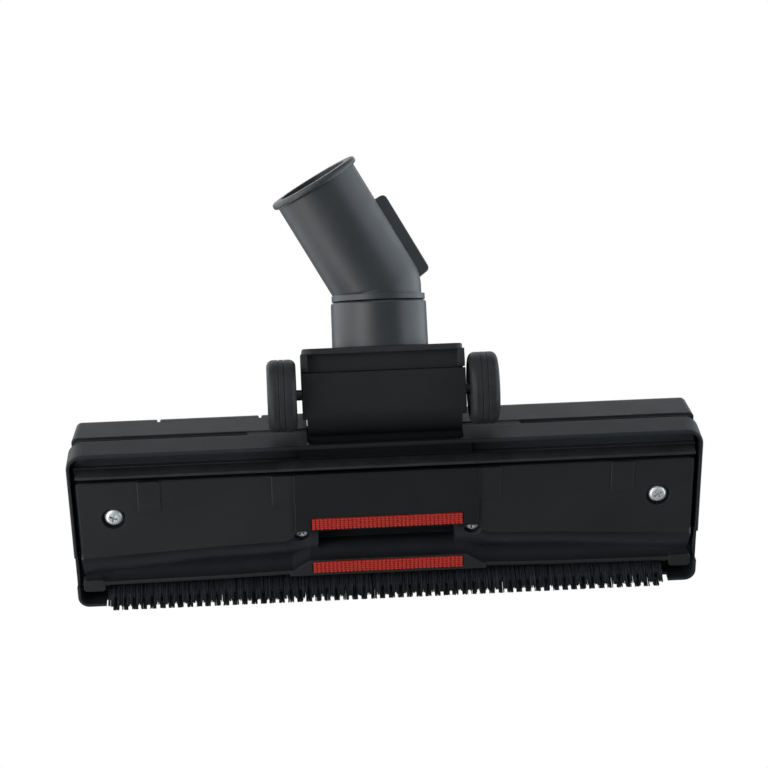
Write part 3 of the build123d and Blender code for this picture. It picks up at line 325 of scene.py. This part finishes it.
def build_bristles():
    """Two staggered rows of tufts, with shorter filaments between the tufts."""
    rng = random.Random(7)
    verts, faces = [], []
    pitch = 4.45
    rows = ((77.7, 0.0, 5.0), (80.3, 0.5, 5.2))
    half = 134.4

    def filament(xb, yb, xt, yt, zt, rad):
        pts = []
        for t in (0.0, 0.4, 0.7, 1.0):
            z = 15.1 + (zt - 15.1) * t
            bend = t ** 2.2
            y = yb + (yt - yb) * bend
            top = 83.3 if z > 4.6 else 83.3 + 2.35 * (4.6 - z) / 4.6
            pts.append((xb + (xt - xb) * bend, min(max(y, 75.9), top), z))
        base = len(verts)
        ph = rng.uniform(0, 2 * math.pi)
        for i, (x, y, z) in enumerate(pts):
            rr = rad * (1.0 if i < 3 else 0.85)
            for s in range(3):
                q = ph + s * 2 * math.pi / 3
                verts.append(((x + rr * math.cos(q)) * MM, (YR + y + rr * math.sin(q)) * MM, z * MM))
        for i in range(3):
            for s in range(3):
                p, q = base + i * 3 + s, base + i * 3 + (s + 1) % 3
                faces.append((p, p + 3, q + 3, q))
        faces.append((base, base + 1, base + 2))
        faces.append((base + 11, base + 10, base + 9))

    for y0, shift, lean in rows:
        n = int(2 * half / pitch)
        for k in range(n + 1):
            xc = -half + (k + shift) * pitch
            if xc > half:
                continue
            xc += rng.uniform(-0.12, 0.12)
            tx, ty = rng.uniform(-0.14, 0.14), lean + rng.uniform(-0.12, 0.12)
            for _ in range(44):
                bx, by = rng.uniform(-1.28, 1.28), rng.uniform(-0.85, 0.85)
                sp = 1.10 + rng.uniform(-0.08, 0.08)
                filament(xc + bx, y0 + by, xc + bx * sp + tx, y0 + by * sp + ty, 0.03 + 0.25 * rng.random(), 0.20)
            if xc + pitch / 2 > half:
                continue
            for _ in range(26):
                bx, by = rng.uniform(-1.15, 1.15), rng.uniform(-0.9, 0.9)
                filament(xc + pitch / 2 + bx, y0 + by, xc + pitch / 2 + bx, y0 + by + 0.55 * lean,
                         2.9 + 0.7 * rng.random(), 0.19)
    me = bpy.data.meshes.new("bristle_tufts")
    me.from_pydata(verts, [], faces)
    me.update()
    ob = bpy.data.objects.new("bristle_tufts", me)
    scene.collection.objects.link(ob)
    me.materials.append(bristle_mat())
    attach(ob, "brush")
    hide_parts("front_bristles")
    return ob


build_bristles()


# ------------------------------------------------------------------ lint strips
def velvet_mat():
    m, nt, bsdf = new_material("lint_velvet")
    vec = object_coords(nt)
    att = nt.nodes.new("ShaderNodeAttribute")
    att.attribute_name = "pile"
    base = mix_colour(nt, remap(nt, noise(nt, vec, 420.0, 3.0, 0.6), 0.3, 0.7, 0, 1),
                      (0.25, 0.0115, 0.008), (0.32, 0.016, 0.0115))
    # painted light: pile tufts painted lighter towards their tips, painted shade at their roots and on the backing
    tone = mix_colour(nt, att.outputs["Fac"], base, (0.385, 0.034, 0.024))
    nt.links.new(tone, bsdf.inputs["Base Color"])
    nt.links.new(remap(nt, noise(nt, vec, 2500.0, 2.0, 0.6), 0.3, 0.7, 0.65, 0.9), bsdf.inputs["Roughness"])
    nt.links.new(bump(nt, noise(nt, vec, 6500.0, 2.0, 0.6), 0.6, 0.00008), bsdf.inputs["Normal"])
    bsdf.inputs["Sheen Weight"].default_value = 0.12
    bsdf.inputs["Sheen Roughness"].default_value = 0.5
    bsdf.inputs["Sheen Tint"].default_value = (1.0, 0.25, 0.18, 1.0)
    bsdf.inputs["Specular IOR Level"].default_value = 0.10
    return m


velvet = velvet_mat()


def build_strip(node, name, yc, seed):
    """Strip of short leaning pile tufts in rows on a crowned backing."""
    rng = random.Random(seed)
    hx, hy, z0, z1 = 36.35, 3.2, 4.45, 3.62
    nx, ny = 146, 14
    verts, faces, pile = [], [], []
    def idx(i, j):
        return i * (ny + 1) + j
    for i in range(nx + 1):
        for j in range(ny + 1):
            u, v = -1 + 2 * i / nx, -1 + 2 * j / ny
            x, y = u * hx, v * hy
            corner = max(0.0, abs(x) - (hx - 1.1)) ** 2 + max(0.0, abs(y) - (hy - 1.1)) ** 2
            edge = min(hx - abs(x), hy - abs(y))
            drop = 0.5 * max(0.0, 1 - edge / 0.7) ** 2
            z = z1 + drop
            if i in (0, nx) or j in (0, ny):
                z = z0
            if corner > 1.21:
                f = 1.1 / math.sqrt(corner)
                x = math.copysign(hx - 1.1 + (abs(x) - hx + 1.1) * f, x)
                y = math.copysign(hy - 1.1 + (abs(y) - hy + 1.1) * f, y)
            verts.append((x, y, z))
            pile.append(0.0)
    for i in range(nx):
        for j in range(ny):
            faces.append((idx(i, j), idx(i, j + 1), idx(i + 1, j + 1), idx(i + 1, j)))
    # flat back, so that the strip is closed
    rim = [idx(i, 0) for i in range(nx + 1)] + [idx(nx, j) for j in range(1, ny + 1)] + \
          [idx(i, ny) for i in range(nx - 1, -1, -1)] + [idx(0, j) for j in range(ny - 1, 0, -1)]
    faces.append(tuple(rim))
    # pile tufts
    px, py = 1.96, 1.22
    cols, rows = int(2 * (hx - 0.6) / px), int(2 * (hy - 0.45) / py)
    for i in range(cols + 1):
        for j in range(rows + 1):
            x = (i - cols / 2) * px + rng.uniform(-0.05, 0.05)
            y = (j - rows / 2) * py + 0.1 + rng.uniform(-0.04, 0.04)
            if abs(x) > hx - 0.95:
                continue
            b = len(verts)
            sides, top = 12, 3.22 + rng.uniform(0.0, 0.06)
            turn = rng.uniform(0, 1)
            for ring, (r, z) in enumerate(((1.0, 3.68), (0.92, 3.40), (0.58, top + 0.03))):
                for s in range(sides):
                    q = turn + s * 2 * math.pi / sides
                    verts.append((x + 0.94 * r * math.cos(q), y + 0.59 * r * math.sin(q) - 0.06 * ring, z))
                    # weights for the tufts' painted light, rising to their tips
                    pile.append((0.15, 0.55, 1.0)[ring])
            verts.append((x, y - 0.14, top))
            pile.append(1.0)
            for ring in range(2):
                for s in range(sides):
                    p, q = b + ring * sides + s, b + ring * sides + (s + 1) % sides
                    faces.append((p, p + sides, q + sides, q))
            for s in range(sides):
                faces.append((b + 2 * sides + s, b + 3 * sides, b + 2 * sides + (s + 1) % sides))
            faces.append(tuple(b + s for s in range(sides)))
    me = bpy.data.meshes.new(name)
    me.from_pydata([(x * MM, (YR + yc + y) * MM, z * MM) for x, y, z in verts], [], faces)
    at = me.attributes.new("pile", "FLOAT", "POINT")
    at.data.foreach_set("value", pile)
    me.update()
    ob = bpy.data.objects.new(name, me)
    scene.collection.objects.link(ob)
    me.materials.append(velvet)
    for p in me.polygons:
        p.use_smooth = True
    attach(ob, "head")
    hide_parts(node)
    return ob


build_strip("lint_strip_rear", "lint_pile_rear", 43.5, 3)
build_strip("lint_strip_front", "lint_pile_front", 68.3, 5)


# ------------------------------------------------------------------ return springs
def build_spring(node, name):
    """Coil of round wire that fills the box of the spring part."""
    lo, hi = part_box(node)
    cx, cy = (lo[0] + hi[0]) / 2, (lo[1] + hi[1]) / 2
    wire = 0.0003
    r = min(hi[0] - lo[0], hi[1] - lo[1]) / 2 - wire
    z0, z1 = lo[2] + wire, hi[2] - wire
    turns = (z1 - z0) / 0.0017
    steps, sides = int(turns * 24), 8
    verts, faces = [], []
    for i in range(steps + 1):
        t = i / steps
        a = 2 * math.pi * turns * t
        for k in range(sides):
            q = 2 * math.pi * k / sides
            rr = r + wire * math.cos(q)
            verts.append((cx + rr * math.cos(a), cy + rr * math.sin(a), z0 + (z1 - z0) * t + wire * math.sin(q)))
    for i in range(steps):
        for k in range(sides):
            p, q = i * sides + k, i * sides + (k + 1) % sides
            faces.append((p, p + sides, q + sides, q))
    faces.append(tuple(range(sides)))
    faces.append(tuple(steps * sides + k for k in range(sides - 1, -1, -1)))
    me = bpy.data.meshes.new(name)
    me.from_pydata(verts, [], faces)
    me.update()
    for p in me.polygons:
        p.use_smooth = True
    ob = bpy.data.objects.new(name, me)
    scene.collection.objects.link(ob)
    me.materials.append(spring_mat)
    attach(ob, "head")
    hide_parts(node)
    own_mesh(ob)
    return ob


build_spring("return_spring_left", "spring_coil_left")
build_spring("return_spring_right", "spring_coil_right")

# ------------------------------------------------------------------ camera
yaw, pitch, roll = math.radians(-4.69), math.radians(60.0), math.radians(-6.46)
d = Vector((-math.sin(yaw) * math.cos(pitch), math.cos(yaw) * math.cos(pitch), math.sin(pitch))).normalized()
r0 = d.cross(Vector((0, 0, 1))).normalized()
u0 = r0.cross(d)
right = math.cos(roll) * r0 + math.sin(roll) * u0
up = -math.sin(roll) * r0 + math.cos(roll) * u0
eye = Vector((-44.5, -568.9 + YR, -928.9)) * MM
cam_data = bpy.data.cameras.new("camera")
cam = bpy.data.objects.new("camera", cam_data)
scene.collection.objects.link(cam)
rot = Matrix((right, up, -d)).transposed()
cam.matrix_world = Matrix.Translation(eye) @ rot.to_4x4()
cam_data.sensor_width = 36.0
cam_data.lens = 36.0 * 2330.25 / 768.0
cam_data.clip_start, cam_data.clip_end = 0.05, 20.0
scene.camera = cam

# ------------------------------------------------------------------ stage and light
fm = bpy.data.materials.new("pale_floor")
fm.use_nodes = True
nt = fm.node_tree
nt.nodes.clear()
out = nt.nodes.new("ShaderNodeOutputMaterial")
mixs = nt.nodes.new("ShaderNodeMixShader")
geo = nt.nodes.new("ShaderNodeNewGeometry")
diff = nt.nodes.new("ShaderNodeBsdfDiffuse")
clear = nt.nodes.new("ShaderNodeBsdfTransparent")
diff.inputs["Color"].default_value = (0.27, 0.27, 0.27, 1)
glow = nt.nodes.new("ShaderNodeEmission")
glow.inputs["Color"].default_value = (1.0, 1.0, 1.0, 1)
glow.inputs["Strength"].default_value = 0.52
both = nt.nodes.new("ShaderNodeAddShader")
nt.links.new(diff.outputs[0], both.inputs[0])
nt.links.new(glow.outputs[0], both.inputs[1])
# far from the part the floor runs out into the white background
far = nt.nodes.new("ShaderNodeEmission")
far.inputs["Color"].default_value = (1.0, 1.0, 1.0, 1)
far.inputs["Strength"].default_value = 1.0
reach = nt.nodes.new("ShaderNodeVectorMath")
reach.operation = "LENGTH"
nt.links.new(object_coords(nt), reach.inputs[0])
fade = nt.nodes.new("ShaderNodeMixShader")
nt.links.new(remap(nt, reach.outputs["Value"], 0.22, 0.72, 0.0, 1.0), fade.inputs[0])
nt.links.new(both.outputs[0], fade.inputs[1])
nt.links.new(far.outputs[0], fade.inputs[2])
nt.links.new(geo.outputs["Backfacing"], mixs.inputs[0])
nt.links.new(fade.outputs[0], mixs.inputs[1])
nt.links.new(clear.outputs[0], mixs.inputs[2])
nt.links.new(mixs.outputs[0], out.inputs["Surface"])
fme = bpy.data.meshes.new("floor")
fme.from_pydata([(-4, -4, -0.0002), (4, -4, -0.0002), (4, 4, -0.0002), (-4, 4, -0.0002)], [], [(0, 1, 2, 3)])
fme.materials.append(fm)
floor = bpy.data.objects.new("floor", fme)
scene.collection.objects.link(floor)
floor.visible_shadow = False
floor.visible_diffuse = False
floor.visible_glossy = False
floor.visible_transmission = False

world = bpy.data.worlds.new("studio")
scene.world = world
world.use_nodes = True
wt = world.node_tree
wt.nodes.clear()
wo = wt.nodes.new("ShaderNodeOutputWorld")
wm = wt.nodes.new("ShaderNodeMixShader")
lp = wt.nodes.new("ShaderNodeLightPath")
soft = wt.nodes.new("ShaderNodeBackground")
soft.inputs["Color"].default_value = (0.90, 0.98, 1.05, 1)
soft.inputs["Strength"].default_value = 0.30
white = wt.nodes.new("ShaderNodeBackground")
white.inputs["Color"].default_value = (1, 1, 1, 1)
white.inputs["Strength"].default_value = 1.0
wt.links.new(lp.outputs["Is Camera Ray"], wm.inputs[0])
wt.links.new(soft.outputs[0], wm.inputs[1])
wt.links.new(white.outputs[0], wm.inputs[2])
wt.links.new(wm.outputs[0], wo.inputs["Surface"])


def softbox(name, place, target, size, power, across=None, tint=(1.0, 1.0, 1.0)):
    """Area light at place that faces target; across is the direction of its first size."""
    z = (Vector(place) - Vector(target)).normalized()
    x = Vector(across) if across is not None else Vector((1, 0, 0))
    x = (x - z * x.dot(z)).normalized()
    ld = bpy.data.lights.new(name, "AREA")
    ld.shape = "RECTANGLE"
    ld.size, ld.size_y = size
    ld.energy = power
    ld.color = tint
    ob = bpy.data.objects.new(name, ld)
    scene.collection.objects.link(ob)
    ob.matrix_world = Matrix.Translation(place) @ Matrix((x, z.cross(x), z)).transposed().to_4x4()
    ob.visible_camera = False
    return ob


mid = Vector((0.0, 0.02, 0.03))
left_at = mid - right * 0.90 - d * 0.90 + up * 0.10
softbox("box_left", left_at, left_at + right, (3.6, 1.3), 28.8, d, (0.97, 1.0, 1.02))
key_at = mid - right * 0.83 - d * 0.86
softbox("box_key", key_at, mid, (0.34, 1.2), 1.8, d, (0.97, 1.0, 1.02))
right_at = mid + right * 0.90 + d * 0.17 + up * 0.10
softbox("box_right", right_at, right_at - right, (1.65, 1.3), 14.0, d, (0.90, 0.98, 1.06))
softbox("box_behind", mid + up * 1.0 - d * 0.55, mid, (1.4, 0.5), 2.2, None, (0.94, 0.99, 1.04))
softbox("box_ceiling", mid + Vector((0, -0.10, 1.25)), mid, (1.6, 1.0), 5.0)
softbox("box_front", mid + Vector((0.2, 1.2, 0.5)), mid, (1.2, 0.6), 5.0)
softbox("box_low", mid + Vector((-0.80, 0.60, -0.92)), mid, (0.3, 0.6), 4.8, None, (1.03, 1.0, 0.96))
softbox("box_fill", mid + Vector((-0.25, -1.0, -0.75)), mid, (1.2, 0.35), 1.3, None, (0.94, 0.99, 1.04))

scene.view_settings.view_transform = "Standard"
scene.view_settings.look = "None"
scene.view_settings.exposure = 0.0
scene.view_settings.gamma = 1.0
